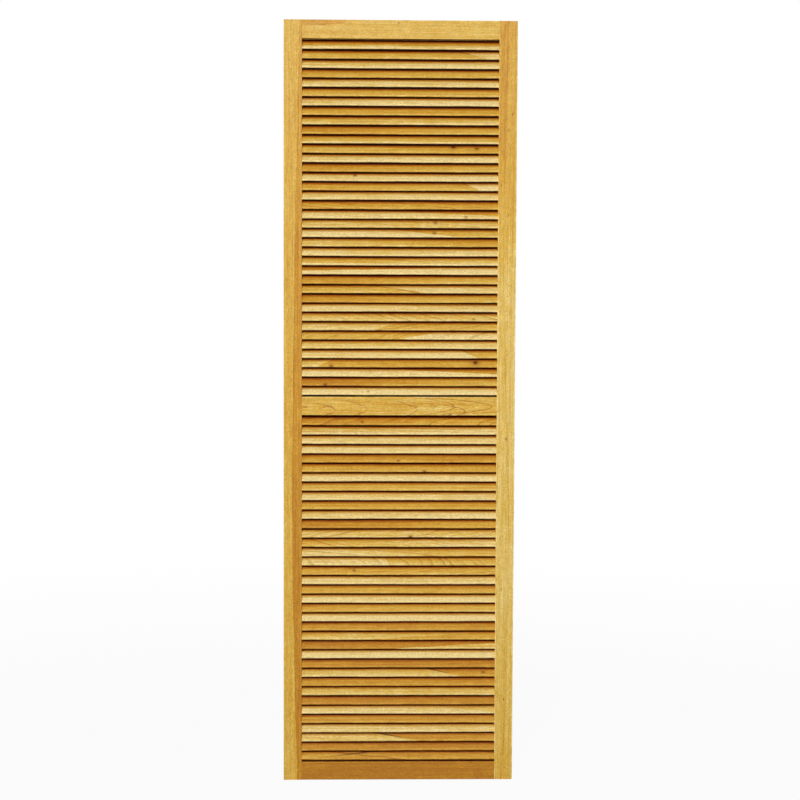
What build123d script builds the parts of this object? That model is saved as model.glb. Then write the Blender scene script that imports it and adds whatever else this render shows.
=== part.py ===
from build123d import *
import math
import os

# Louvered closet door leaf, in millimetres.
# The origin is at the middle of the foot. Z is up, the front looks along -Y, X runs to the right.

# Leaf and frame boards
door_width = 609.6
door_height = 2006.6
door_thickness = 28.6
stile_width = 47.6
rail_height = 48.5
mid_rail_centre = 1000.3
arris_radius = 1.0

# Slats: each leans with its front edge low
slat_width = 33.0
slat_thickness = 6.35
slat_crown = 1.5
slat_angle = 50.0
upper_slat_count = 38
lower_slat_count = 37
gap_under_rail = 0.4
gap_above_rail = 3.3

# Housings that the slat ends stand in
housing_depth = 8.0
housing_clearance = 0.15
slat_end_clearance = 0.5

# Tenons at the rail ends, glued into blind mortises in the stiles
tenon_thickness = 9.5
tenon_length = 30.0
tenon_shoulder = 7.0
tenon_side_clearance = 0.1
tenon_end_clearance = 0.8

# Sizes that follow
opening_width = door_width - 2 * stile_width
tenon_height = rail_height - 2 * tenon_shoulder
tenon_span = opening_width + 2 * tenon_length
mortise_thickness = tenon_thickness + 2 * tenon_side_clearance
mortise_height = tenon_height + 2 * tenon_side_clearance
mortise_depth = tenon_length + tenon_end_clearance
slat_length = opening_width + 2 * (housing_depth - slat_end_clearance)
housing_width = slat_width + 2 * housing_clearance
housing_thickness = slat_thickness + 2 * housing_clearance

# A slat edge is an arc over the slat's thickness that stands out by the crown
edge_radius = ((slat_thickness / 2) ** 2 + slat_crown**2) / (2 * slat_crown)
lean = math.radians(slat_angle)
slat_rise = 2 * ((slat_width / 2 - edge_radius) * math.sin(lean) + edge_radius)

rail_centres = {
    "bottom_rail": rail_height / 2,
    "mid_rail": mid_rail_centre,
    "top_rail": door_height - rail_height / 2,
}


def field_heights(lower_rail, upper_rail, count):
    """Centre heights of the slats between two rails, from the top down, evenly divided."""
    foot = rail_centres[lower_rail] + rail_height / 2
    head = rail_centres[upper_rail] - rail_height / 2
    lowest = foot + gap_above_rail + slat_rise / 2
    highest = head - gap_under_rail - slat_rise / 2
    spacing = (highest - lowest) / (count - 1)
    return [highest - k * spacing for k in range(count)]


slat_fields = {
    "upper": field_heights("mid_rail", "top_rail", upper_slat_count),
    "lower": field_heights("bottom_rail", "mid_rail", lower_slat_count),
}
slat_heights = slat_fields["upper"] + slat_fields["lower"]


def cross_plane(x, height):
    """An upright plane across the door at x, with its own x along +Y and its own y up."""
    return Plane(origin=(x, 0, height), x_dir=(0, 1, 0), z_dir=(1, 0, 0))


def slat_plane(height):
    """The plane of a slat's left end, with its own x along the slat's width."""
    across = (0, math.cos(lean), math.sin(lean))
    return Plane(origin=(-slat_length / 2, 0, height), x_dir=across, z_dir=(1, 0, 0))


def save(part, name):
    """Labels a finished piece and writes it under its own name."""
    part.label = name
    export_step(part, f"parts/{name}.step")


def make_stile(side):
    """A full-height board with a housing for each slat end and a mortise for each rail."""
    with BuildPart() as stile:
        with BuildSketch(Plane.XY):
            with Locations((side * (opening_width + stile_width) / 2, 0)):
                Rectangle(stile_width, door_thickness)
        extrude(amount=door_height)
        fillet(stile.edges().filter_by(Axis.Z), radius=arris_radius)
        inner_edge = cross_plane(side * opening_width / 2, 0)
        with BuildSketch(inner_edge):
            with Locations(*[(0, height) for height in slat_heights]):
                Rectangle(housing_width, housing_thickness, rotation=slat_angle)
        extrude(amount=side * housing_depth, mode=Mode.SUBTRACT)
        with BuildSketch(inner_edge):
            with Locations(*[(0, centre) for centre in rail_centres.values()]):
                Rectangle(mortise_thickness, mortise_height)
        extrude(amount=side * mortise_depth, mode=Mode.SUBTRACT)
    return stile


def make_rail(centre):
    """A cross board between the stiles, with a tenon at each end."""
    with BuildPart() as rail:
        with BuildSketch(cross_plane(-opening_width / 2, centre)):
            Rectangle(door_thickness, rail_height)
        extrude(amount=opening_width)
        fillet(rail.edges().filter_by(Axis.X), radius=arris_radius)
        with BuildSketch(cross_plane(-tenon_span / 2, centre)):
            Rectangle(tenon_thickness, tenon_height)
        extrude(amount=tenon_span)
    return rail


def make_slats(heights):
    """Slats at the given heights: flat boards with crowned long edges, ends in the housings."""
    half_flat = slat_width / 2 - slat_crown
    half_thick = slat_thickness / 2
    with BuildPart() as slats:
        for height in heights:
            with BuildSketch(slat_plane(height)):
                with BuildLine():
                    Line((-half_flat, half_thick), (half_flat, half_thick))
                    ThreePointArc((half_flat, half_thick), (slat_width / 2, 0), (half_flat, -half_thick))
                    Line((half_flat, -half_thick), (-half_flat, -half_thick))
                    ThreePointArc((-half_flat, -half_thick), (-slat_width / 2, 0), (-half_flat, half_thick))
                make_face()
            extrude(amount=slat_length)
    return slats


os.makedirs("parts", exist_ok=True)

save(make_stile(-1).part, "left_stile")
save(make_stile(1).part, "right_stile")

for rail_name, rail_centre in rail_centres.items():
    save(make_rail(rail_centre).part, rail_name)

# The slats of a field go in twos, numbered from the top; an odd last one is alone
for field, heights in slat_fields.items():
    for first in range(0, len(heights), 2):
        group = heights[first : first + 2]
        numbers = "_".join(f"{first + k + 1:02d}" for k in range(len(group)))
        noun = "slats" if len(group) > 1 else "slat"
        save(make_slats(group).part, f"{field}_{noun}_{numbers}")
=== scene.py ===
"""Dresses a louvered closet door: sawn-wood finishes, round-nosed slats, studio and camera."""
import logging
import math
import random
from dataclasses import dataclass
from enum import Enum
from functools import partial, reduce
from typing import Any

import bpy
from mathutils import Matrix, Vector, noise


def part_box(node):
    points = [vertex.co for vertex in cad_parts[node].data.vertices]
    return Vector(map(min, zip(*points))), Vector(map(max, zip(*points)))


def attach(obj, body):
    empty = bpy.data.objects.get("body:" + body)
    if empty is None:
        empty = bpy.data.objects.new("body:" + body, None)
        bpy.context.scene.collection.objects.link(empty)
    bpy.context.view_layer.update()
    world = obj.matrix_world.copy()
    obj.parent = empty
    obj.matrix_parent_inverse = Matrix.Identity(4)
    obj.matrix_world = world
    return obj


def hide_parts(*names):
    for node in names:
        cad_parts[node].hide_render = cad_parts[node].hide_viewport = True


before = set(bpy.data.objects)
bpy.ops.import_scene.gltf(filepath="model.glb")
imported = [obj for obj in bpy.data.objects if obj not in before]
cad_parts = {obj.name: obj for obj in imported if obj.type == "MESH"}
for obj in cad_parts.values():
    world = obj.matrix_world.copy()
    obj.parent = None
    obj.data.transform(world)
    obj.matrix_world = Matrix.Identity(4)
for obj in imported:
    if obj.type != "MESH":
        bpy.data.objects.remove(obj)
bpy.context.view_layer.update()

log = logging.getLogger("closet_door")

MM = 0.001
BODY = "root"
OFF_FACE = 9.0

Colour = tuple[float, float, float, float]
Place = tuple[float, float, float]
Pairs = tuple[tuple[float, float], ...]
Socket = bpy.types.NodeSocket


def from_hex(text: str) -> Colour:
    """Turns a display colour into the linear colour that shaders use.

    Args:
        text: Six hexadecimal digits, red first.

    Returns:
        Linear red, green, blue and an alpha of 1.
    """
    parts = [int(text[k : k + 2], 16) / 255 for k in (0, 2, 4)]
    linear = [c / 12.92 if c <= 0.04045 else ((c + 0.055) / 1.055) ** 2.4 for c in parts]
    return (*linear, 1.0)


class Tone(Enum):
    """Where a piece of wood lies between pale sapwood at 0 and dark heartwood at 1."""

    CREAM = 0.0
    PALE = 0.13
    TAN = 0.27
    HONEY = 0.42
    AMBER = 0.56
    ORANGE = 0.7
    BROWN = 0.84


CREAM, PALE, TAN, HONEY, AMBER, ORANGE, BROWN = Tone


@dataclass(frozen=True)
class WoodFinish:
    """The clear-finished wood that the whole door is made of."""

    tones: tuple[tuple[float, str], ...] = (
        (0.0, "F3D993"),
        (0.13, "EBCC7C"),
        (0.27, "E4BF5F"),
        (0.42, "DDB047"),
        (0.56, "D9A63C"),
        (0.7, "CF962E"),
        (0.84, "C78A27"),
        (1.0, "BA7B24"),
    )
    latewood: str = "A0561C"
    pore: str = "7A4E1C"
    knot_core: str = "4A2C14"
    knot_halo: str = "A8651F"
    # Painted shade: these three colours darken the wood where slats and rails hide one another, first warmer,
    # then red-brown, then dark.
    painted_shade_warm: str = "FFF6AE"
    painted_shade_edge: str = "B4662C"
    painted_shade_deep: str = "5E3628"
    end_grain: str = "A9753A"
    roughness: float = 0.46
    grain_height: float = 0.16 * MM


@dataclass(frozen=True)
class Line:
    """A line over the seen face of a slat, where one tone of wood gives way to another.

    Across is 0 at the left stile and 1 at the right one. Up is 0 at the nose and 1 where the face
    goes into shade. The other tone lies on the left hand of someone walking along the line.
    """

    from_across: float
    from_up: float
    to_across: float
    to_up: float


@dataclass(frozen=True)
class Knot:
    """A knot on the seen face of a slat, placed as a line is, with its length in millimetres."""

    across: float
    up: float
    length: float = 4.0


@dataclass(frozen=True)
class SlatLook:
    """How one slat's wood looks.

    The slope is how far the grain lines climb or fall over a unit of length, the spacing is between
    two lines in millimetres, and the nose is how much paler the lower edge is painted, a painted
    highlight. The seam is how dark the line between the tones is, high on the seen face.
    """

    tone: Tone
    right: Tone | None = None
    other: Tone | None = None
    line: Line = Line(0.0, OFF_FACE, 1.0, OFF_FACE)
    figure: float = 0.4
    slope: float = 0.0
    spacing: float = 3.2
    nose: float = 0.25
    seam: float = 0.0
    knots: tuple[Knot, ...] = ()


NO_KNOT = Knot(0.5, -OFF_FACE)


def band(up: float) -> Line:
    """A line along the slat at one height, so that the other tone is above it."""
    return Line(0.0, up, 1.0, up + 0.04)


UPPER_LOOKS: tuple[SlatLook, ...] = (
    SlatLook(PALE, other=AMBER, line=band(0.5), figure=1.0, slope=0.05, spacing=5.0),
    SlatLook(HONEY, other=PALE, line=Line(0.81, 1.1, 0.93, 0.0), seam=0.35),
    SlatLook(TAN, right=PALE, nose=0.7),
    SlatLook(AMBER, right=HONEY, figure=0.6, slope=-0.08),
    SlatLook(PALE),
    SlatLook(HONEY),
    SlatLook(PALE, right=CREAM),
    SlatLook(AMBER),
    SlatLook(HONEY, right=TAN, figure=0.7, slope=0.1, spacing=6.0, nose=0.6),
    SlatLook(ORANGE, right=HONEY),
    SlatLook(HONEY, nose=1.0),
    SlatLook(HONEY, right=AMBER, knots=(Knot(0.77, 1.0, 12.0), Knot(0.89, 0.75, 9.0))),
    SlatLook(PALE, right=CREAM),
    SlatLook(ORANGE, right=HONEY),
    SlatLook(PALE, right=CREAM, knots=(Knot(0.27, 0.9, 7.0),)),
    SlatLook(AMBER, right=HONEY, other=CREAM, line=Line(0.83, 1.1, 0.9, 0.0), seam=0.3),
    SlatLook(PALE),
    SlatLook(AMBER, figure=0.9, slope=0.14, spacing=8.0),
    SlatLook(PALE, other=AMBER, line=Line(0.58, 1.1, 1.0, 0.4), knots=(Knot(0.835, 0.2, 5.0),)),
    SlatLook(TAN, figure=0.9, slope=0.1, spacing=9.0, knots=(Knot(0.68, 0.8, 7.0),)),
    SlatLook(CREAM, other=HONEY, line=Line(0.5, 1.1, 0.8, 0.0), knots=(Knot(0.675, 0.6, 7.0),)),
    SlatLook(TAN, right=AMBER, figure=0.7, slope=-0.1, spacing=6.0),
    SlatLook(PALE),
    SlatLook(HONEY, right=TAN, figure=0.6, slope=0.08, spacing=7.0, nose=1.0),
    SlatLook(CREAM, other=BROWN, line=Line(0.0, 0.52, 0.66, 1.0)),
    SlatLook(ORANGE, right=HONEY),
    SlatLook(HONEY, other=PALE, line=Line(0.36, 1.15, 0.6, 0.0), figure=0.8, slope=0.2, spacing=9.0),
    SlatLook(ORANGE, right=HONEY),
    SlatLook(PALE, figure=0.6),
    SlatLook(TAN, figure=1.0, slope=0.38, spacing=16.0, knots=(Knot(0.88, 0.25, 5.0),)),
    SlatLook(HONEY, other=PALE, line=Line(0.37, 0.0, 0.5, 1.15), figure=0.7, slope=-0.2, spacing=12.0),
    SlatLook(CREAM, other=HONEY, line=Line(0.51, 0.0, 0.69, 1.15), figure=1.0, slope=-0.38, spacing=16.0),
    SlatLook(TAN, right=PALE, nose=0.5),
    SlatLook(PALE, right=CREAM, other=HONEY, line=Line(0.83, 1.1, 0.9, 0.0), seam=0.3),
    SlatLook(
        AMBER,
        other=TAN,
        line=Line(0.085, 0.0, 0.165, 1.15),
        knots=(Knot(0.89, 0.72, 15.0), Knot(0.15, 0.1, 8.0)),
    ),
    SlatLook(CREAM, other=ORANGE, line=Line(0.5, 1.1, 1.0, 0.4)),
    SlatLook(BROWN, right=HONEY, figure=0.7, knots=(Knot(0.12, 0.1, 9.0),)),
    SlatLook(CREAM, figure=0.2, knots=(Knot(0.34, 0.5, 4.0),)),
)

LOWER_LOOKS: tuple[SlatLook, ...] = (
    SlatLook(ORANGE, right=AMBER, figure=1.0, slope=-0.38, spacing=26.0, knots=(Knot(0.31, 0.4, 7.0),)),
    SlatLook(TAN, right=PALE, figure=1.8, slope=0.05, spacing=5.0, nose=0.9),
    SlatLook(PALE),
    SlatLook(PALE, right=CREAM, figure=0.6),
    SlatLook(ORANGE, knots=(Knot(0.495, 0.2, 6.0),)),
    SlatLook(AMBER, knots=(Knot(0.63, 0.02, 8.0),)),
    SlatLook(CREAM),
    SlatLook(HONEY),
    SlatLook(PALE, figure=0.5),
    SlatLook(AMBER, figure=0.5),
    SlatLook(PALE, right=CREAM, figure=0.8, slope=0.05, spacing=5.0),
    SlatLook(BROWN, right=AMBER),
    SlatLook(TAN, figure=0.9, slope=-0.28, spacing=15.0, knots=(Knot(0.56, 0.02, 8.0),)),
    SlatLook(HONEY, right=PALE, figure=1.0, slope=0.29, spacing=14.0),
    SlatLook(PALE, right=HONEY, figure=1.0, slope=0.1, spacing=9.0),
    SlatLook(PALE, other=HONEY, line=Line(0.43, 1.15, 0.455, 0.0), figure=1.0, slope=1.0, spacing=27.0),
    SlatLook(AMBER, right=HONEY, figure=0.9, slope=-0.15, spacing=12.0, knots=(Knot(0.27, 0.6, 7.0),)),
    SlatLook(PALE, nose=0.6),
    SlatLook(AMBER),
    SlatLook(CREAM),
    SlatLook(AMBER, right=HONEY),
    SlatLook(CREAM),
    SlatLook(ORANGE, figure=0.6),
    SlatLook(AMBER, other=TAN, line=Line(0.38, 0.0, 0.95, 1.0)),
    SlatLook(TAN, other=BROWN, line=Line(0.45, 0.0, 1.0, 0.85), figure=0.5),
    SlatLook(CREAM),
    SlatLook(BROWN, figure=0.5),
    SlatLook(
        TAN,
        other=ORANGE,
        line=Line(0.64, 1.2, 0.82, 0.0),
        nose=0.6,
        seam=0.7,
        knots=(Knot(0.94, 0.6, 7.0),),
    ),
    SlatLook(ORANGE),
    SlatLook(TAN, figure=0.5),
    SlatLook(BROWN),
    SlatLook(PALE, other=TAN, line=Line(0.72, 1.1, 1.0, 0.1), nose=0.5),
    SlatLook(ORANGE),
    SlatLook(PALE, nose=0.1),
    SlatLook(
        TAN,
        other=ORANGE,
        line=Line(0.38, 1.15, 0.61, 0.0),
        figure=0.6,
        slope=0.1,
        spacing=6.0,
        seam=0.9,
    ),
    SlatLook(BROWN),
    SlatLook(
        ORANGE,
        other=AMBER,
        line=Line(0.0, 0.0, 0.37, 1.1),
        figure=1.0,
        slope=0.12,
        spacing=9.0,
        seam=0.8,
    ),
)


class Graph:
    """Adds and links shader nodes in one tree."""

    def __init__(self, tree: bpy.types.NodeTree) -> None:
        """Takes the tree that the nodes go in."""
        self.tree = tree

    def feed(self, socket: Socket, value: Any) -> None:
        """Links a socket to another one, or sets its own value.

        Args:
            socket: The input to feed.
            value: An output socket or a plain value.
        """
        if isinstance(value, bpy.types.NodeSocket):
            self.tree.links.new(value, socket)
        else:
            socket.default_value = value

    def node(self, kind: str, inputs: dict[Any, Any] | None = None, **settings: Any) -> Any:
        """Adds a node.

        Args:
            kind: The node's type name.
            inputs: What its inputs are fed, by name or number.
            **settings: Properties set on the node.

        Returns:
            The new node's outputs.
        """
        made = self.tree.nodes.new(kind)
        for name, value in settings.items():
            setattr(made, name, value)
        for key, value in (inputs or {}).items():
            self.feed(made.inputs[key], value)
        return made.outputs

    def math(self, operation: str, *values: Any, clamp: bool = False) -> Socket:
        """Works on one to three numbers, and keeps the result within 0 and 1 where asked."""
        return self.node("ShaderNodeMath", dict(enumerate(values)), operation=operation, use_clamp=clamp)[0]

    def times(self, first: Any, second: Any, clamp: bool = False) -> Socket:
        """Multiplies two numbers."""
        return self.math("MULTIPLY", first, second, clamp=clamp)

    def plus(self, first: Any, second: Any, clamp: bool = False) -> Socket:
        """Adds two numbers."""
        return self.math("ADD", first, second, clamp=clamp)

    def minus(self, first: Any, second: Any) -> Socket:
        """Takes the second number from the first."""
        return self.math("SUBTRACT", first, second)

    def size(self, value: Any) -> Socket:
        """A number without its sign."""
        return self.math("ABSOLUTE", value)

    def swing(self, value: Any, size: Any) -> Socket:
        """Turns a value about 0.5 into one about 0 of the given size."""
        return self.times(self.minus(value, 0.5), size)

    def most(self, values: list[Socket]) -> Any:
        """The greatest of some values at each place, or 0 without any."""
        return reduce(partial(self.math, "MAXIMUM"), values) if values else 0.0

    def vector(self, operation: str, *values: Any) -> Socket:
        """Works on vectors, and gives a vector, or a number where the operation does."""
        made = self.node("ShaderNodeVectorMath", dict(enumerate(values)), operation=operation)
        return made["Value" if operation in {"DOT_PRODUCT", "LENGTH"} else "Vector"]

    def noise(
        self, vector: Socket, scale: Place | None = None, detail: float = 2.0, roughness: float = 0.5
    ) -> Socket:
        """Adds smooth noise about 0.5.

        Args:
            vector: The coordinates.
            scale: How fast it changes along each axis, or nothing where they are already stretched.
            detail: How many finer layers there are.
            roughness: How strong the finer layers are.

        Returns:
            The noise.
        """
        stretched = self.vector("MULTIPLY", vector, scale) if scale else vector
        inputs = {"Vector": stretched, "Scale": 1.0, "Detail": detail, "Roughness": roughness}
        return self.node("ShaderNodeTexNoise", inputs)[0]

    def remap(self, value: Socket, low: Any, high: Any, to_low: float = 0.0, to_high: float = 1.0) -> Socket:
        """Maps a value smoothly from one range to another, and keeps it within that one."""
        inputs = {"Value": value, "From Min": low, "From Max": high, "To Min": to_low, "To Max": to_high}
        return self.node("ShaderNodeMapRange", inputs, interpolation_type="SMOOTHSTEP")[0]

    def fade(self, value: Socket, low: Any, high: Any) -> Socket:
        """Falls smoothly from 1 at the low end of a range to 0 at its high end."""
        return self.remap(value, low, high, 1.0, 0.0)

    def mix(self, factor: Any, first: Any, second: Any, blend: str = "MIX") -> Socket:
        """Mixes two colours, with as much of the second as the factor says."""
        inputs = {0: factor, 6: first, 7: second}
        return self.node("ShaderNodeMix", inputs, data_type="RGBA", blend_type=blend)[2]

    def between(self, factor: Any, first: Any, second: Any) -> Socket:
        """Mixes two numbers, with as much of the second as the factor says."""
        return self.node("ShaderNodeMix", {0: factor, 2: first, 3: second}, data_type="FLOAT")[0]

    def shaded(self, colour: Socket, shade: Socket) -> Socket:
        """Multiplies a colour by a number."""
        return self.mix(1.0, colour, self.join(shade, shade, shade), "MULTIPLY")

    def split(self, vector: Socket) -> Any:
        """Splits a vector into its three numbers."""
        return self.node("ShaderNodeSeparateXYZ", {0: vector})

    def join(self, x: Any, y: Any, z: Any) -> Socket:
        """Joins three numbers into a vector."""
        return self.node("ShaderNodeCombineXYZ", {0: x, 1: y, 2: z})[0]

    def place(self, group: bpy.types.NodeTree, **values: Any) -> Any:
        """Places a shared group and gives its outputs. Underscores stand for spaces in its inputs' names."""
        inputs = {name.replace("_", " "): value for name, value in values.items()}
        return self.node("ShaderNodeGroup", inputs, node_tree=group)

    def ramp(self, factor: Socket, stops: tuple[tuple[float, str], ...]) -> Socket:
        """Adds a colour ramp.

        Args:
            factor: Where on the ramp to read.
            stops: Places and display colours.

        Returns:
            The colour.
        """
        made = self.tree.nodes.new("ShaderNodeValToRGB")
        points = made.color_ramp.elements
        while len(points) < len(stops):
            points.new(1.0)
        for point, (place, text) in zip(points, stops):
            point.position = place
            point.color = from_hex(text)
        self.feed(made.inputs[0], factor)
        return made.outputs[0]

    def curve(self, value: Socket, points: Pairs) -> Socket:
        """Adds a smooth curve through points.

        Args:
            value: The place along the curve, from 0 to 1.
            points: Places and heights, from 0 to 1.

        Returns:
            The height.
        """
        made = self.tree.nodes.new("ShaderNodeFloatCurve")
        line = made.mapping.curves[0]
        line.points[0].location = points[0]
        line.points[-1].location = points[-1]
        for place, height in points[1:-1]:
            line.points.new(place, height)
        made.mapping.update()
        self.feed(made.inputs["Value"], value)
        return made.outputs[0]


def floats(*names: str) -> dict[str, str]:
    """Socket kinds for plain values."""
    return dict.fromkeys(names, "Float")


def vectors(*names: str) -> dict[str, str]:
    """Socket kinds for places and directions."""
    return dict.fromkeys(names, "Vector")


def new_group(name: str, inputs: dict[str, str], outputs: dict[str, str]) -> tuple[Graph, Any, Any]:
    """Starts a shared node group.

    Args:
        name: The group's name.
        inputs: Socket kinds by name, each Float, Vector or Color.
        outputs: The same for what it puts out.

    Returns:
        The graph, the sockets of the group's inputs by name, and its output node's inputs by name.
    """
    tree = bpy.data.node_groups.new(name, "ShaderNodeTree")
    for side, sockets in (("INPUT", inputs), ("OUTPUT", outputs)):
        for label, kind in sockets.items():
            tree.interface.new_socket(name=label, in_out=side, socket_type=f"NodeSocket{kind}")
    graph = Graph(tree)
    return graph, graph.node("NodeGroupInput"), tree.nodes.new("NodeGroupOutput").inputs


class WoodEffects:
    """The node groups that every wood material shares."""

    def __init__(self, finish: WoodFinish) -> None:
        """Builds the groups.

        Args:
            finish: The wood's colours and sheen.
        """
        self.finish = finish
        self.fibre = self._fibre()
        self.rings = self._rings()
        self.knot = self._knot()
        self.arc = self._arc()
        self.two_tone = self._two_tone()
        self.arris = self._arris()
        self.surface = self._surface()

    @staticmethod
    def _fibre() -> bpy.types.NodeTree:
        """Long streaks, short fibres and pores, all drawn out along the board's length."""
        graph, given, out = new_group(
            "wood_fibre",
            vectors("Board") | floats("Seed"),
            floats("Streak", "Fibre", "Pore", "Mottle", "Fleck"),
        )
        shift = graph.times(given["Seed"], 7.31)
        moved = graph.vector("ADD", given["Board"], graph.join(shift, shift, shift))
        wander = graph.noise(moved, (9.0, 30.0, 30.0), 1.0)
        bend = graph.swing(wander, 4.0 * MM)
        bent = graph.vector("ADD", moved, graph.join(0.0, bend, bend))
        graph.feed(out["Streak"], graph.noise(bent, (5.0, 260.0, 260.0), 3.0))
        graph.feed(out["Fibre"], graph.noise(bent, (22.0, 1500.0, 1500.0), 2.0, 0.6))
        dashes = graph.noise(bent, (110.0, 2400.0, 2400.0), 0.0)
        graph.feed(out["Pore"], graph.remap(dashes, 0.66, 0.78))
        graph.feed(out["Mottle"], graph.noise(moved, (38.0, 90.0, 90.0), 2.0))
        graph.feed(out["Fleck"], graph.noise(bent, (210.0, 420.0, 420.0), 1.0, 0.7))
        return graph.tree

    @staticmethod
    def _rings() -> bpy.types.NodeTree:
        """Growth rings about a pith that leans against the board, so that faces show flames or lines."""
        graph, given, out = new_group(
            "wood_rings",
            vectors("Board", "Pith", "Lean") | floats("Seed", "Ring Width", "Wobble", "Band"),
            floats("Latewood", "Ring Wave"),
        )
        along, across, depth = graph.split(given["Board"])
        lean_across, lean_depth, _ = graph.split(given["Lean"])
        pith_across, pith_depth, _ = graph.split(given["Pith"])
        shift = graph.times(given["Seed"], 3.77)
        moved = graph.vector("ADD", given["Board"], graph.join(shift, 0.0, shift))
        wander = graph.noise(moved, (11.0, 34.0, 34.0), 2.0)
        wobble = graph.swing(wander, given["Wobble"])
        side = graph.plus(graph.minus(across, pith_across), graph.times(along, lean_across))
        deep = graph.plus(graph.minus(depth, pith_depth), graph.times(along, lean_depth))
        reach = graph.plus(graph.vector("LENGTH", graph.join(side, deep, 0.0)), wobble)
        turns = graph.math("DIVIDE", reach, given["Ring Width"])
        years = graph.noise(graph.join(graph.times(turns, 0.6), shift, 0.0), detail=1.0)
        turns = graph.math("MULTIPLY_ADD", graph.minus(years, 0.5), 2.2, turns)
        part = graph.math("FRACT", turns)
        graph.feed(out["Ring Wave"], part)
        ring = graph.times(graph.math("FLOOR", turns), 3.7)
        strong = graph.remap(graph.noise(graph.join(ring, 0.0, shift), detail=0.0), 0.35, 0.62, 0.15, 1.0)
        starts = graph.minus(1.0, given["Band"])
        peak = graph.math("MULTIPLY_ADD", given["Band"], -0.2, 1.0)
        rise = graph.remap(part, starts, peak)
        fall = graph.fade(part, peak, 1.0)
        line = graph.math("POWER", graph.times(rise, fall), 2.0)
        graph.feed(out["Latewood"], graph.times(line, strong))
        return graph.tree

    @staticmethod
    def _knot() -> bpy.types.NodeTree:
        """A pin knot: a dark core and a warm halo, drawn out along the board."""
        graph, given, out = new_group(
            "pin_knot",
            vectors("Board", "Place") | floats("Length", "Slimness"),
            floats("Core", "Halo"),
        )
        away = graph.vector("SUBTRACT", given["Board"], given["Place"])
        rough = graph.noise(given["Board"], (900.0, 900.0, 900.0), 1.0)
        flat = graph.vector("MULTIPLY", away, graph.join(1.0, given["Slimness"], 0.0))
        reach = graph.math("DIVIDE", graph.vector("LENGTH", flat), given["Length"])
        ragged = graph.plus(reach, graph.swing(rough, 0.5))
        solid = graph.remap(given["Length"], 3.0 * MM, 12.0 * MM, 0.5, 1.0)
        graph.feed(out["Core"], graph.times(solid, graph.fade(ragged, 0.28, 0.52)))
        graph.feed(out["Halo"], graph.fade(ragged, 0.4, 1.5))
        return graph.tree

    @staticmethod
    def _arc() -> bpy.types.NodeTree:
        """A thin line bent round a tip, as a growth ring shows on a flat-sawn face."""
        graph, given, out = new_group(
            "ring_arc",
            vectors("Board", "Tip") | floats("Opening"),
            floats("Line"),
        )
        along, across, _ = graph.split(graph.vector("SUBTRACT", given["Board"], given["Tip"]))
        ragged = graph.noise(given["Board"], (60.0, 130.0, 0.0), 2.0)
        bend = graph.times(given["Opening"], graph.times(across, across))
        offset = graph.plus(graph.plus(along, bend), graph.math("MULTIPLY_ADD", ragged, 0.02, -0.01))
        slope = graph.times(graph.times(given["Opening"], 2.0), across)
        steep = graph.vector("LENGTH", graph.join(1.0, slope, 0.0))
        away = graph.math("DIVIDE", graph.size(offset), steep)
        thin = graph.fade(away, 0.3 * MM, 1.3 * MM)
        fades = graph.remap(graph.size(across), 14.0 * MM, 26.0 * MM, 1.0, 0.15)
        patchy = graph.remap(ragged, 0.3, 0.6, 0.45, 1.0)
        graph.feed(out["Line"], graph.times(thin, graph.times(fades, patchy)))
        return graph.tree

    @staticmethod
    def _two_tone() -> bpy.types.NodeTree:
        """Sapwood and heartwood on the two sides of a ragged line over the board."""
        graph, given, out = new_group(
            "heart_and_sap",
            vectors("Board", "From", "To") | floats("Seed", "Tone", "Other Tone"),
            floats("Heart", "Seam"),
        )
        run = graph.vector("NORMALIZE", graph.vector("SUBTRACT", given["To"], given["From"]))
        away = graph.vector("SUBTRACT", given["Board"], given["From"])
        run_along, run_across, _ = graph.split(run)
        away_along, away_across, _ = graph.split(away)
        above = graph.minus(graph.times(run_along, away_across), graph.times(run_across, away_along))
        shift = graph.times(given["Seed"], 5.13)
        moved = graph.vector("ADD", given["Board"], graph.join(shift, shift, 0.0))
        ragged = graph.noise(moved, (16.0, 70.0, 70.0), 3.0)
        offset = graph.plus(above, graph.swing(ragged, 5.0 * MM))
        side = graph.remap(offset, -0.7 * MM, 0.9 * MM)
        graph.feed(out["Heart"], graph.between(side, given["Tone"], given["Other Tone"]))
        near = graph.fade(graph.size(offset), 0.0, 2.2 * MM)
        graph.feed(out["Seam"], near)
        return graph.tree

    @staticmethod
    def _arris() -> bpy.types.NodeTree:
        """The arrises of a board are worn paler, more in some stretches than in others; the paleness is
        partly worn wood and partly a painted highlight.
        """
        graph, given, out = new_group(
            "arris_wear_and_highlight",
            vectors("Board") | floats("Half Width", "Half Depth", "Reach"),
            floats("Wear"),
        )
        _, across, depth = graph.split(given["Board"])
        in_from_side = graph.minus(given["Half Width"], graph.size(across))
        in_from_face = graph.minus(given["Half Depth"], graph.size(depth))
        near = graph.plus(in_from_side, in_from_face)
        rubbing_and_highlight = graph.noise(given["Board"], (60.0, 200.0, 200.0), 3.0)
        reach = graph.times(given["Reach"], graph.remap(rubbing_and_highlight, 0.3, 0.7, 0.3, 1.4))
        graph.feed(out["Wear"], graph.fade(near, 0.0, reach))
        return graph.tree

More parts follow.
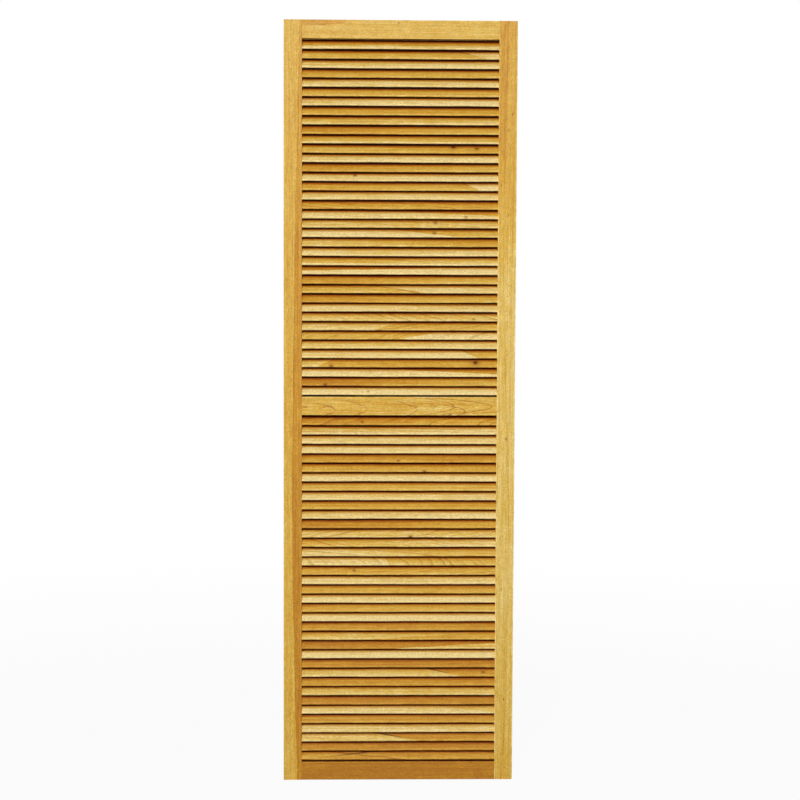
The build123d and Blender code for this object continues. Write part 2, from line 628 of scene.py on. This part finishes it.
    def _surface(self) -> bpy.types.NodeTree:
        """Lays fibres, rings, knots, worn arrises with a painted highlight, end grain and painted shade over
        a tone of wood.
        """
        finish = self.finish
        graph, given, out = new_group(
            "wood_surface",
            vectors("Board")
            | floats("Seed", "Heart", "Seam", "Latewood", "Ring Wave", "Figure")
            | floats("Core", "Halo", "Wear", "End", "Recess"),
            {"Colour": "Color"} | floats("Roughness", "Height"),
        )
        fibre = graph.place(self.fibre, Board=given["Board"], Seed=given["Seed"])
        drift = graph.swing(fibre["Streak"], 0.75)
        patch = graph.swing(fibre["Mottle"], 0.4)
        season = graph.swing(given["Ring Wave"], graph.times(given["Figure"], 0.16))
        heart = graph.plus(graph.plus(given["Heart"], drift), graph.plus(patch, season))
        # Worn arrises are made paler here and brightened below; this is partly worn wood and partly a painted
        # highlight.
        heart = graph.minus(heart, graph.times(given["Wear"], 0.16))
        colour = graph.ramp(graph.plus(heart, graph.times(given["Seam"], 0.2), clamp=True), finish.tones)
        shade = graph.remap(fibre["Fibre"], 0.3, 0.7, 0.87, 1.07)
        shade = graph.times(shade, graph.remap(fibre["Fleck"], 0.25, 0.75, 0.82, 1.16))
        colour = graph.shaded(colour, shade)
        told = graph.times(given["Figure"], graph.remap(heart, 0.0, 0.5, 0.3, 0.8))
        line = graph.times(given["Latewood"], told, clamp=True)
        colour = graph.mix(line, colour, from_hex(finish.latewood))
        colour = graph.mix(graph.times(fibre["Pore"], 0.4), colour, from_hex(finish.pore))
        colour = graph.mix(graph.times(given["Halo"], 0.55), colour, from_hex(finish.knot_halo))
        colour = graph.mix(graph.times(given["Core"], 0.85), colour, from_hex(finish.knot_core))
        colour = graph.shaded(colour, graph.math("MULTIPLY_ADD", given["Wear"], 0.14, 1.0))
        colour = graph.mix(graph.times(given["End"], 0.6), colour, from_hex(finish.end_grain))
        # Painted shade: the tone is multiplied warmer, then red-brown, then dark as the shade input rises.
        warm = graph.remap(given["Recess"], 0.0, 0.5)
        colour = graph.mix(warm, colour, from_hex(finish.painted_shade_warm), "MULTIPLY")
        edge = graph.remap(given["Recess"], 0.0, 0.75)
        colour = graph.mix(edge, colour, from_hex(finish.painted_shade_edge), "MULTIPLY")
        deep = graph.remap(given["Recess"], 0.55, 1.0)
        colour = graph.mix(deep, colour, from_hex(finish.painted_shade_deep), "MULTIPLY")
        graph.feed(out["Colour"], colour)
        sheen = graph.plus(finish.roughness, graph.remap(fibre["Fibre"], 0.3, 0.7, -0.05, 0.07))
        sheen = graph.plus(sheen, graph.times(fibre["Pore"], 0.15))
        graph.feed(out["Roughness"], graph.plus(sheen, graph.times(given["End"], 0.25)))
        high = graph.minus(fibre["Fibre"], graph.times(fibre["Pore"], 0.8))
        high = graph.plus(high, graph.times(line, 0.7))
        graph.feed(out["Height"], graph.minus(high, graph.times(given["Core"], 1.2)))
        return graph.tree

    def knots(
        self, graph: Graph, board: Socket, places: list[tuple[Any, Any]], slimness: float
    ) -> tuple[Any, Any]:
        """Lays pin knots on a board.

        Args:
            graph: The material's graph.
            board: The board's own coordinates.
            places: Where each knot is, and its length in metres.
            slimness: How many times longer than wide they are.

        Returns:
            The knots' cores and their halos.
        """
        laid = [
            graph.place(self.knot, Board=board, Place=place, Length=length, Slimness=slimness)
            for place, length in places
        ]
        return graph.most([knot["Core"] for knot in laid]), graph.most([knot["Halo"] for knot in laid])

    def finish_material(self, graph: Graph, **layers: Any) -> None:
        """Puts the wood surface on the material's Principled shader, with its bump.

        Args:
            graph: The material's graph.
            **layers: The inputs of the surface group.
        """
        wood = graph.place(self.surface, **layers)
        bump = {"Strength": 0.75, "Distance": self.finish.grain_height, "Height": wood["Height"]}
        shader = graph.tree.nodes["Principled BSDF"].inputs
        graph.feed(shader["Base Color"], wood["Colour"])
        graph.feed(shader["Roughness"], wood["Roughness"])
        graph.feed(shader["Normal"], graph.node("ShaderNodeBump", bump)[0])
        shader["Specular IOR Level"].default_value = 0.25


def new_material(name: str) -> tuple[bpy.types.Material, Graph]:
    """Starts a material.

    Args:
        name: The material's name.

    Returns:
        The material, and its graph with a Principled shader in it.
    """
    material = bpy.data.materials.new(name)
    material.use_nodes = True
    return material, Graph(material.node_tree)


def add_object(name: str, data: bpy.types.ID) -> bpy.types.Object:
    """Adds an object to the scene."""
    obj = bpy.data.objects.new(name, data)
    bpy.context.scene.collection.objects.link(obj)
    return obj


def staged_sheet(name: str, corners: list[Place], material: bpy.types.Material) -> None:
    """Adds a flat sheet that isn't part of the door.

    Args:
        name: The sheet's name.
        corners: Its four corners.
        material: What it is made of.
    """
    mesh = bpy.data.meshes.new(name)
    mesh.from_pydata(corners, [], [(0, 1, 2, 3)])
    mesh.materials.append(material)
    add_object(name, mesh)


@dataclass(frozen=True)
class BoardMark:
    """A pin knot or short dark dash on a frame board, in millimetres along and across it."""

    along: float
    across: float
    length: float


@dataclass(frozen=True)
class RingArc:
    """A growth ring's arc on a rail: its tip in millimetres, and how fast its arms draw back."""

    along: float
    across: float
    opening: float


@dataclass(frozen=True)
class BoardLook:
    """How one frame board's wood looks.

    Places along run from 0 at the board's start to 1 at its end, and across from 0 to 1 likewise.
    The edge curve says how far across the two tones meet.
    """

    near: Pairs
    far: Pairs
    edge: Pairs
    seed: float
    pith: tuple[float, float]
    lean: tuple[float, float]
    ring_width: float
    figure: float
    wobble: float = 4.0
    band: float = 0.4
    worn: float = 1.0
    marks: tuple[BoardMark, ...] = ()
    arcs: tuple[RingArc, ...] = ()


@dataclass
class FrameBoard:
    """A stile or rail: the CAD node keeps its shape and takes a sawn-wood finish."""

    node: str
    upright: bool
    look: BoardLook
    worn_reach: float = 3.6 * MM
    knot_slimness: float = 2.2

    def __post_init__(self) -> None:
        """Reads the board's box from the frame."""
        self.low, self.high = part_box(self.node)
        self.span = self.high - self.low

    def dress(self, effects: WoodEffects) -> None:
        """Makes the board's material and puts it on the node.

        Args:
            effects: The shared node groups.
        """
        material, self.graph = new_material(f"{self.node}_wood")
        self.effects = effects
        look = self.look
        half_wide = (self.span.x if self.upright else self.span.z) / 2
        self._find_axes()
        heart, seam = self._heart()
        rings = self.graph.place(
            effects.rings,
            Board=self.board,
            Seed=look.seed,
            Pith=(look.pith[0] * MM, look.pith[1] * MM, 0.0),
            Lean=(*look.lean, 0.0),
            Ring_Width=look.ring_width * MM,
            Wobble=look.wobble * MM,
            Band=look.band,
        )
        wear_and_highlight = self.graph.place(
            effects.arris,
            Board=self.board,
            Half_Width=half_wide,
            Half_Depth=self.span.y / 2,
            Reach=self.worn_reach,
        )["Wear"]
        marks = [((mark.along * MM, mark.across * MM, 0.0), mark.length * MM) for mark in look.marks]
        core, halo = effects.knots(self.graph, self.board, marks, self.knot_slimness)
        effects.finish_material(
            self.graph,
            Board=self.board,
            Seed=look.seed,
            Heart=heart,
            Seam=seam,
            Latewood=self._arcs(rings["Latewood"]),
            Ring_Wave=rings["Ring Wave"],
            Figure=look.figure,
            Core=core,
            Halo=halo,
            Wear=self.graph.times(wear_and_highlight, look.worn),
            End=self._end(),
            Recess=self._painted_shade(),
        )
        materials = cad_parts[self.node].data.materials
        materials.clear()
        materials.append(material)
        log.info("dressed %s", self.node)

    def _find_axes(self) -> None:
        """Finds the board's own coordinates, along, across and deep, and the first two as shares."""
        graph = self.graph
        centre = (self.low + self.high) / 2
        inside = graph.vector("SUBTRACT", graph.node("ShaderNodeTexCoord")["Object"], tuple(centre))
        x, y, z = graph.split(inside)
        long, wide = (self.span.z, self.span.x) if self.upright else (self.span.x, self.span.z)
        self.board = graph.join(z, x, y) if self.upright else graph.join(x, z, y)
        along, self.across, self.deep = graph.split(self.board)
        self.share_along = graph.math("MULTIPLY_ADD", along, 1 / long, 0.5)
        self.share_across = graph.math("MULTIPLY_ADD", self.across, 1 / wide, 0.5)

    def _heart(self) -> tuple[Socket, Socket]:
        """Lays two tones on the two sides of a wandering line along the board.

        Returns:
            The tone, and how near the line is.
        """
        graph, look = self.graph, self.look
        lines = (look.near, look.far, look.edge)
        near, far, edge = (graph.curve(self.share_along, points) for points in lines)
        shifted = graph.vector("ADD", self.board, (look.seed, look.seed, 0.0))
        ragged = graph.swing(graph.noise(shifted, (14.0, 60.0, 60.0), 3.0), 0.12)
        past = graph.plus(graph.minus(self.share_across, edge), ragged)
        seam = graph.fade(graph.size(past), 0.0, 0.05)
        return graph.between(graph.remap(past, -0.02, 0.025), near, far), seam

    def _painted_shade(self) -> Any:
        """Paints shade on the front half of a rail's long edges that face the slats.

        Returns:
            How much shade is painted on the wood, from 0 to 1.
        """
        if self.upright:
            return 0.0
        graph = self.graph
        # Painted shade: the edge darkens from just behind its front arris and fades out about 17 mm in.
        inward = graph.plus(self.deep, self.span.y / 2)
        begins = graph.remap(inward, 0.8 * MM, 4.0 * MM, 0.0, 0.9)
        shade = graph.times(begins, graph.fade(inward, 11.0 * MM, 17.0 * MM))
        foot, head = (corner.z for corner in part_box("left_stile"))
        if self.low.z < foot + MM:
            return graph.times(shade, graph.remap(self.across, 0.0, MM))
        if self.high.z > head - MM:
            return graph.times(shade, graph.fade(self.across, -MM, 0.0))
        return shade

    def _arcs(self, line: Socket) -> Socket:
        """Lays the board's own ring arcs over its latewood lines.

        Args:
            line: The latewood lines.

        Returns:
            The lines with the arcs.
        """
        if not self.look.arcs:
            return line
        drawn = [self.graph.times(line, 0.3)]
        for arc in self.look.arcs:
            tip = (arc.along * MM, arc.across * MM, 0.0)
            laid = self.graph.place(self.effects.arc, Board=self.board, Tip=tip, Opening=arc.opening / MM)
            drawn.append(laid["Line"])
        return self.graph.most(drawn)

    def _end(self) -> Socket:
        """1 where the face shows end grain, and 0 elsewhere."""
        axis = (0.0, 0.0, 1.0) if self.upright else (1.0, 0.0, 0.0)
        facing = self.graph.vector("DOT_PRODUCT", self.graph.node("ShaderNodeNewGeometry")["Normal"], axis)
        return self.graph.remap(self.graph.size(facing), 0.6, 0.9)


@dataclass
class SlatField:
    """One field of slats between two rails."""

    name: str
    looks: tuple[SlatLook, ...]
    first_seed: float = 0.0
    width: float = 33.0 * MM
    thickness: float = 6.35 * MM
    angle: float = math.radians(50.0)
    seen: float = 20.0 * MM
    housed: float = 7.5 * MM
    rows: int = 72
    flat_steps: int = 6
    nose_steps: int = 12
    end_hold: float = 10.0 * MM
    edge_wave: float = 0.9 * MM
    bow: float = 1.0 * MM
    twist: float = math.radians(1.2)

    def build(self, material: bpy.types.Material) -> None:
        """Makes every slat of the field.

        Args:
            material: The slats' wood.
        """
        for index, look in enumerate(self.looks):
            self._slat(index, look, material)
        log.info("made %d slats of the %s field", len(self.looks), self.name)

    def _node_of(self, index: int) -> str:
        """Names the CAD node that holds a slat, where slats go in twos.

        Args:
            index: The slat's place from the top, from 0.

        Returns:
            The node's name.
        """
        first = index - index % 2 + 1
        if first == len(self.looks):
            return f"{self.name}_slat_{first:02d}"
        return f"{self.name}_slats_{first:02d}_{first + 1:02d}"

    def _rise(self) -> float:
        """The height of one slat: that of a pair less the way from it to the next slat."""
        low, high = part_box(self._node_of(0))
        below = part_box(self._node_of(2))[1].z
        pair = high.z - low.z
        pitch = (high.z - below) / 2
        return pair - pitch

    def _centre(self, index: int) -> Place:
        """Finds a slat in its node's box.

        Args:
            index: The slat's place from the top, from 0.

        Returns:
            The height of its centre, and its left and right ends.
        """
        low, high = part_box(self._node_of(index))
        rise = self._rise()
        height = high.z - rise / 2 if index % 2 == 0 else low.z + rise / 2
        return height, low.x, high.x

    def _profile(self) -> list[tuple[float, float]]:
        """Draws the slat's section: flat faces and round noses.

        Returns:
            The closed section's points, across and deep.
        """
        half = self.width / 2
        nose = self.thickness / 2
        flat = half - nose
        points: list[tuple[float, float]] = []
        for side in (1, -1):
            for k in range(self.flat_steps):
                points.append((side * (-flat + 2 * flat * k / self.flat_steps), side * nose))
            for k in range(self.nose_steps):
                turn = math.pi * k / self.nose_steps
                points.append((side * (flat + nose * math.sin(turn)), side * nose * math.cos(turn)))
        return points

    def _planed(self, along: float, across: float, seed: float, free: float) -> float:
        """Planes a long edge of a slat back, more in some places than in others.

        Args:
            along: The point's place along the slat.
            across: Its place across the slat.
            seed: The slat's own seed.
            free: How far the slat is out of its housings, from 0 to 1.

        Returns:
            The point's new place across the slat.
        """
        lane = 2.0 if across < 0 else 5.0
        slow, quick = (noise.noise(Vector((along * pace, seed, lane))) for pace in (9, 31))
        near = max(0.0, abs(across) / (self.width / 2) - 0.5) * 2
        worn = free * near * self.edge_wave * max(0.0, 0.5 + 0.7 * (slow + quick / 2))
        return across - math.copysign(worn, across)

    def _sweep(self, index: int, seed: float, draw: random.Random) -> tuple[list[Vector], list[Place]]:
        """Sweeps the section along a slat, with the slight waves of a thin board.

        Args:
            index: The slat's place from the top, from 0.
            seed: The slat's own seed.
            draw: Its random numbers.

        Returns:
            The points, and each one's place on the board, along, across and deep.
        """
        height, left, right = self._centre(index)
        profile = self._profile()
        across_axis = Vector((0, math.cos(self.angle), math.sin(self.angle)))
        deep_axis = Vector((0, -math.sin(self.angle), math.cos(self.angle)))
        bow = draw.uniform(-1, 1) * self.bow
        twist = draw.uniform(-1, 1) * self.twist
        points: list[Vector] = []
        board: list[Place] = []
        for row in range(self.rows + 1):
            along = left + (right - left) * row / self.rows
            free = 0.0
            if 0 < row < self.rows:
                free = min(1.0, (min(along - left, right - along) / self.end_hold) ** 2)
            reach = 2 * along / (right - left)
            lift = free * bow * (1 - reach * reach)
            turn = free * twist * reach * (1 - abs(reach))
            for across, deep in profile:
                wide = self._planed(along, across, seed, free)
                out = deep + lift + across * math.sin(turn)
                points.append(Vector((along, 0, height)) + across_axis * wide + deep_axis * out)
                board.append((along, across, deep))
        return points, board

    def _slat(self, index: int, look: SlatLook, material: bpy.types.Material) -> None:
        """Makes one slat in place of its part of the CAD node.

        Args:
            index: The slat's place from the top, from 0.
            look: How its wood looks.
            material: The slats' wood.
        """
        seed = self.first_seed + index * 1.37
        draw = random.Random(int(seed * 100))
        points, board = self._sweep(index, seed, draw)
        size = 2 * (self.flat_steps + self.nose_steps)
        faces = [
            (r * size + k, r * size + (k + 1) % size, (r + 1) * size + (k + 1) % size, (r + 1) * size + k)
            for r in range(self.rows)
            for k in range(size)
        ]
        faces.append(tuple(reversed(range(size))))
        faces.append(tuple(self.rows * size + k for k in range(size)))
        mesh = bpy.data.meshes.new(f"{self.name}_slat_{index + 1:02d}")
        mesh.from_pydata(points, [], faces)
        mesh.validate()
        mesh.shade_smooth()
        mesh.set_sharp_from_angle(angle=math.radians(50))
        self._write(mesh, "board", board)
        self._write_look(mesh, look, seed, draw)
        mesh.materials.append(material)
        obj = add_object(mesh.name, mesh)
        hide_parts(self._node_of(index))
        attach(obj, BODY)

    @staticmethod
    def _write(mesh: bpy.types.Mesh, name: str, values: list[Place]) -> None:
        """Keeps a vector for each point of a mesh."""
        layer = mesh.attributes.new(name, "FLOAT_VECTOR", "POINT")
        layer.data.foreach_set("vector", [number for value in values for number in value])

    def _write_look(self, mesh: bpy.types.Mesh, look: SlatLook, seed: float, draw: random.Random) -> None:
        """Keeps a slat's look on its points, for the slats' material to read.

        Args:
            mesh: The slat's mesh.
            look: How its wood looks.
            seed: The slat's own seed.
            draw: Its random numbers.
        """
        _, left, right = self._centre(0)
        seen_left, seen_right = left + self.housed, right - self.housed

        def spot(across: float, up: float) -> tuple[float, float]:
            """A place on the seen face, in metres along and across the slat."""
            return seen_left + across * (seen_right - seen_left), -self.width / 2 + up * self.seen

        line = look.line
        first, second = (*look.knots, NO_KNOT, NO_KNOT)[:2]
        kept = {
            "tones": tuple((tone or look.tone).value for tone in (look.tone, look.right, look.other)),
            "line_from": (*spot(line.from_across, line.from_up), look.figure),
            "line_to": (*spot(line.to_across, line.to_up), look.nose),
            "first_knot": (*spot(first.across, first.up), first.length * MM),
            "second_knot": (*spot(second.across, second.up), second.length * MM),
            "grain": (seed, look.spacing * MM, look.slope + draw.uniform(-0.006, 0.006)),
            "seam": (look.seam, 0.0, 0.0),
        }
        for name, value in kept.items():
            self._write(mesh, name, [value] * len(mesh.vertices))


def slat_material(effects: WoodEffects, slat: SlatField) -> bpy.types.Material:
    """Makes the wood that every slat wears, which reads each slat's own look from its mesh.

    Args:
        effects: The shared node groups.
        slat: A field, for the slats' size.

    Returns:
        The material.
    """
    material, graph = new_material("figured_slat_wood")

    def kept(name: str) -> Socket:
        """Reads a vector kept on the mesh."""
        return graph.node("ShaderNodeAttribute", attribute_name=name)["Vector"]

    board = kept("board")
    along, across, deep = graph.split(board)
    left_tone, right_tone, other = graph.split(kept("tones"))
    from_along, from_across, figure = graph.split(kept("line_from"))
    to_along, to_across, nose = graph.split(kept("line_to"))
    seed, spacing, slope = graph.split(kept("grain"))
    share = graph.remap(along, -0.2, 0.2)
    # Painted highlight: the lower edge of the seen face is painted paler, as far as the slat's nose value
    # says.
    rubbing_and_highlight = graph.remap(across, -14.0 * MM, -9.0 * MM, 0.3, 0.0)
    heart = graph.place(
        effects.two_tone,
        Board=board,
        Seed=seed,
        From=graph.join(from_along, from_across, 0.0),
        To=graph.join(to_along, to_across, 0.0),
        Tone=graph.between(share, left_tone, right_tone),
        Other_Tone=other,
    )
    rings = graph.place(
        effects.rings,
        Board=board,
        Seed=seed,
        Pith=(-0.4, 0.0, 0.0),
        Lean=graph.join(slope, 0.0, 0.0),
        Ring_Width=spacing,
        Wobble=graph.times(spacing, 1.3),
        Band=0.32,
    )
    places = [kept(name) for name in ("first_knot", "second_knot")]
    core, halo = effects.knots(graph, board, [(place, graph.split(place)[2]) for place in places], 1.15)
    seam = graph.times(graph.remap(heart["Seam"], 0.0, 0.5), graph.split(kept("seam"))[0])
    seam = graph.times(seam, graph.remap(across, -11.0 * MM, 0.0))
    # The slats' worn arrises are partly a painted highlight along their noses.
    wear_and_highlight = graph.place(
        effects.arris, Board=board, Half_Width=slat.width / 2, Half_Depth=slat.thickness / 2, Reach=3.4 * MM
    )["Wear"]
    # Painted shade: each slat face darkens towards the part that the next slat hides and shades, on the front
    # and on the back.
    inward = graph.times(across, graph.math("SIGN", deep))
    effects.finish_material(
        graph,
        Board=board,
        Seed=seed,
        Heart=graph.minus(heart["Heart"], graph.times(nose, rubbing_and_highlight)),
        Seam=heart["Seam"],
        Latewood=rings["Latewood"],
        Ring_Wave=rings["Ring Wave"],
        Figure=figure,
        Core=graph.most([core, seam]),
        Halo=halo,
        Wear=wear_and_highlight,
        End=0.0,
        Recess=graph.math("MULTIPLY_ADD", inward, 1 / (16.0 * MM), 0.25, clamp=True),
    )
    return material


BOARDS: tuple[FrameBoard, ...] = (
    FrameBoard(
        "left_stile",
        True,
        BoardLook(
            near=((0.0, 0.42), (0.3, 0.42), (0.6, 0.47), (0.9, 0.45), (1.0, 0.42)),
            far=((0.0, 0.84), (0.15, 0.84), (0.4, 0.78), (0.7, 0.72), (1.0, 0.66)),
            edge=((0.0, 0.76), (0.12, 0.66), (0.3, 0.5), (0.55, 0.54), (0.75, 0.66), (0.9, 0.8), (1.0, 0.84)),
            seed=2.0,
            pith=(-220.0, 0.0),
            lean=(0.006, 0.0),
            ring_width=4.2,
            figure=0.3,
            worn=0.25,
        ),
    ),
    FrameBoard(
        "right_stile",
        True,
        BoardLook(
            near=((0.0, 0.44), (0.1, 0.3), (0.4, 0.26), (0.65, 0.28), (0.8, 0.56), (0.9, 0.66), (1.0, 0.62)),
            far=((0.0, 0.42), (0.2, 0.24), (0.5, 0.22), (0.66, 0.24), (0.76, 0.46), (1.0, 0.56)),
            edge=((0.0, 0.4), (0.3, 0.7), (0.6, 0.4), (0.72, 0.3), (0.8, 0.35), (1.0, 0.5)),
            seed=5.0,
            pith=(260.0, 0.0),
            lean=(-0.012, 0.0),
            ring_width=6.0,
            figure=0.25,
            # The right stile's stronger arris lightening is partly a painted highlight on its inner arris,
            # which the key light from the left catches.
            worn=1.5,
            marks=(
                BoardMark(762.0, 12.0, 5.0),
                BoardMark(721.0, 2.0, 5.0),
                BoardMark(577.0, -16.0, 4.5),
                BoardMark(500.0, 3.0, 4.0),
                BoardMark(-90.0, 1.0, 6.0),
                BoardMark(-491.0, -9.0, 4.5),
                BoardMark(-787.0, 0.0, 5.0),
            ),
        ),
    ),
    FrameBoard(
        "top_rail",
        False,
        BoardLook(
            near=((0.0, 0.42), (0.5, 0.39), (1.0, 0.36)),
            far=((0.0, 0.7), (0.2, 0.66), (0.3, 0.42), (1.0, 0.36)),
            edge=((0.0, 0.96), (0.1, 0.72), (0.2, 0.8), (0.3, 1.0), (1.0, 1.0)),
            seed=9.0,
            pith=(240.0, 0.0),
            lean=(0.01, 0.0),
            ring_width=5.0,
            figure=0.16,
            worn=0.3,
            marks=(BoardMark(-6.0, 17.0, 4.5),),
        ),
    ),
    FrameBoard(
        "mid_rail",
        False,
        BoardLook(
            near=((0.0, 0.42), (0.5, 0.42), (1.0, 0.4)),
            far=((0.0, 0.4), (0.5, 0.42), (1.0, 0.4)),
            edge=((0.0, 0.4), (0.5, 0.6), (1.0, 0.5)),
            seed=13.0,
            pith=(-2.0, -60.0),
            lean=(0.0, 0.02),
            ring_width=2.4,
            figure=1.35,
            wobble=2.6,
            band=0.16,
            marks=(BoardMark(134.0, -22.0, 5.5),),
            arcs=(
                RingArc(-169.0, -11.0, 0.14),
                RingArc(-88.0, -8.0, 0.11),
                RingArc(46.0, -10.0, 0.11),
                RingArc(146.0, -1.0, 0.17),
                RingArc(175.0, -14.0, 0.2),
                RingArc(244.0, -1.0, 0.3),
            ),
        ),
    ),
    FrameBoard(
        "bottom_rail",
        False,
        BoardLook(
            near=((0.0, 1.0), (0.5, 0.96), (1.0, 0.92)),
            far=((0.0, 0.98), (0.5, 1.0), (1.0, 0.95)),
            edge=((0.0, 0.5), (1.0, 0.5)),
            seed=17.0,
            pith=(-260.0, 0.0),
            lean=(0.003, 0.0),
            ring_width=3.0,
            figure=0.3,
            wobble=1.6,
            worn=0.4,
        ),
    ),
)


@dataclass(frozen=True)
class MatteFinish:
    """A plain dull finish for what stands round the door."""

    colour: Colour
    roughness: float
    sheen: float

    def material(self, name: str) -> tuple[bpy.types.Material, Graph]:
        """Makes the finish's material.

        Args:
            name: The material's name.

        Returns:
            The material and its graph.
        """
        material, graph = new_material(name)
        shader = graph.tree.nodes["Principled BSDF"]
        shader.inputs["Base Color"].default_value = self.colour
        shader.inputs["Roughness"].default_value = self.roughness
        shader.inputs["Specular IOR Level"].default_value = self.sheen
        return material, graph


@dataclass(frozen=True)
class SoftLamp:
    """A flat lamp with its size in metres and its power in watts. The camera doesn't see it."""

    name: str
    at: Place
    aim: Place
    size: tuple[float, float]
    power: float
    mirrored: bool = True

    def hang(self) -> None:
        """Adds the lamp to the scene."""
        lamp = bpy.data.lights.new(self.name, "AREA")
        lamp.shape = "RECTANGLE"
        lamp.size, lamp.size_y = self.size
        lamp.energy = self.power
        obj = add_object(self.name, lamp)
        obj.location = self.at
        obj.rotation_euler = (Vector(self.aim) - Vector(self.at)).to_track_quat("-Z", "Y").to_euler()
        obj.visible_camera = False
        obj.visible_glossy = self.mirrored


@dataclass
class Studio:
    """A pale floor, soft lamps, a white surround, a dark card that stands in for shade, and the camera."""

    camera_at: Place = (-0.134, -5.0, 1.358)
    camera_aim: Place = (0.0014, -0.0143, 1.0165)
    camera_roll: float = math.radians(-0.234)
    lens: float = 85.35
    key: SoftLamp = SoftLamp("key", (-0.8, -7.0, 4.5), (-0.5, -4.9, 0.0), (1.6, 1.0), 690.0)
    back: SoftLamp = SoftLamp("back_light", (1.6, 6.0, 0.9), (0.0, 0.0, 1.0), (1.6, 1.2), 210.0, False)
    floor_finish: MatteFinish = MatteFinish((0.4, 0.4, 0.39, 1.0), 0.9, 0.1)
    floor_half: float = 30.0
    floor_white: float = 0.95
    card_finish: MatteFinish = MatteFinish((0.02, 0.018, 0.016, 1.0), 0.95, 0.5)
    card_behind: float = 15.0
    card_span: tuple[float, float] = (-0.75, 1.55)
    card_height: float = 3.9
    white: Colour = (1.0, 1.0, 1.0, 1.0)

    def build(self) -> None:
        """Makes the studio round the door."""
        self._camera()
        self._floor()
        self._surround()
        self.key.hang()
        self.back.hang()
        self._dark_card()
        bpy.context.scene.view_settings.view_transform = "Standard"
        log.info("studio ready")

    def _camera(self) -> None:
        """Sets the camera where the photograph was taken from."""
        camera = add_object("camera", bpy.data.cameras.new("camera"))
        at = Vector(self.camera_at)
        look = (Vector(self.camera_aim) - at).to_track_quat("-Z", "Y").to_matrix().to_4x4()
        camera.matrix_world = Matrix.Translation(at) @ look @ Matrix.Rotation(-self.camera_roll, 4, "Z")
        camera.data.lens = self.lens
        camera.data.sensor_width = 36.0
        bpy.context.scene.camera = camera

    def _floor(self) -> None:
        """A pale floor that is white to the camera away from the door and keeps the door's shadow."""
        material, graph = self.floor_finish.material("pale_floor")
        away = graph.vector("LENGTH", graph.node("ShaderNodeTexCoord")["Object"])
        share = graph.times(graph.remap(away, 1.0, 4.5, self.floor_white, 1.0), self._seen(graph))
        nodes = graph.tree.nodes
        pale, output = nodes["Principled BSDF"].outputs[0], nodes["Material Output"].inputs["Surface"]
        self._blend(graph, share, pale, graph.node("ShaderNodeEmission")[0], output)
        half = self.floor_half
        corners = [(-half, -half, 0), (half, -half, 0), (half, half, 0), (-half, half, 0)]
        staged_sheet("floor", corners, material)

    def _dark_card(self) -> None:
        """A dark card far behind the door that stands in for shade, and only shows through the gaps between
        its slats.
        """
        material, _ = self.card_finish.material("dark_card")
        left, right = self.card_span
        behind, high = self.card_behind, self.card_height
        corners = [(left, behind, 0), (right, behind, 0), (right, behind, high), (left, behind, high)]
        staged_sheet("dark_flag", corners, material)

    @staticmethod
    def _seen(graph: Graph) -> Socket:
        """1 for what the camera sees."""
        return graph.node("ShaderNodeLightPath")["Is Camera Ray"]

    @staticmethod
    def _blend(graph: Graph, share: Any, first: Socket, second: Socket, output: Socket) -> None:
        """Mixes two shaders into an output, with as much of the second as the share says."""
        graph.feed(output, graph.node("ShaderNodeMixShader", {0: share, 1: first, 2: second})[0])

    def _surround(self) -> None:
        """White to the camera, with soft light from the sides, overhead and a little from the front."""
        world = bpy.data.worlds.new("surround")
        bpy.context.scene.world = world
        world.use_nodes = True
        graph = Graph(world.node_tree)
        nodes = graph.tree.nodes
        x, y, z = graph.split(graph.node("ShaderNodeTexCoord")["Generated"])
        front = graph.remap(y, -0.5, 0.2, 0.03, 0.01)
        sides = graph.remap(graph.size(x), 0.75, 0.95, 0.0, 0.4)
        overhead = graph.remap(z, 0.86, 0.96, 0.0, 0.4)
        soft = nodes["Background"]
        graph.feed(soft.inputs["Strength"], graph.most([front, sides, overhead]))
        soft.inputs["Color"].default_value = self.white
        white = graph.node("ShaderNodeBackground", {"Color": self.white})[0]
        self._blend(graph, self._seen(graph), soft.outputs[0], white, nodes["World Output"].inputs["Surface"])


def main() -> None:
    """Builds the dressed door and its studio."""
    logging.basicConfig(level=logging.INFO, format="%(message)s")
    effects = WoodEffects(WoodFinish())
    upper = SlatField("upper", UPPER_LOOKS)
    lower = SlatField("lower", LOWER_LOOKS, first_seed=61.0)
    material = slat_material(effects, upper)
    for slats in (upper, lower):
        slats.build(material)
    for board in BOARDS:
        board.dress(effects)
    Studio().build()


if __name__ == "__main__":
    main()
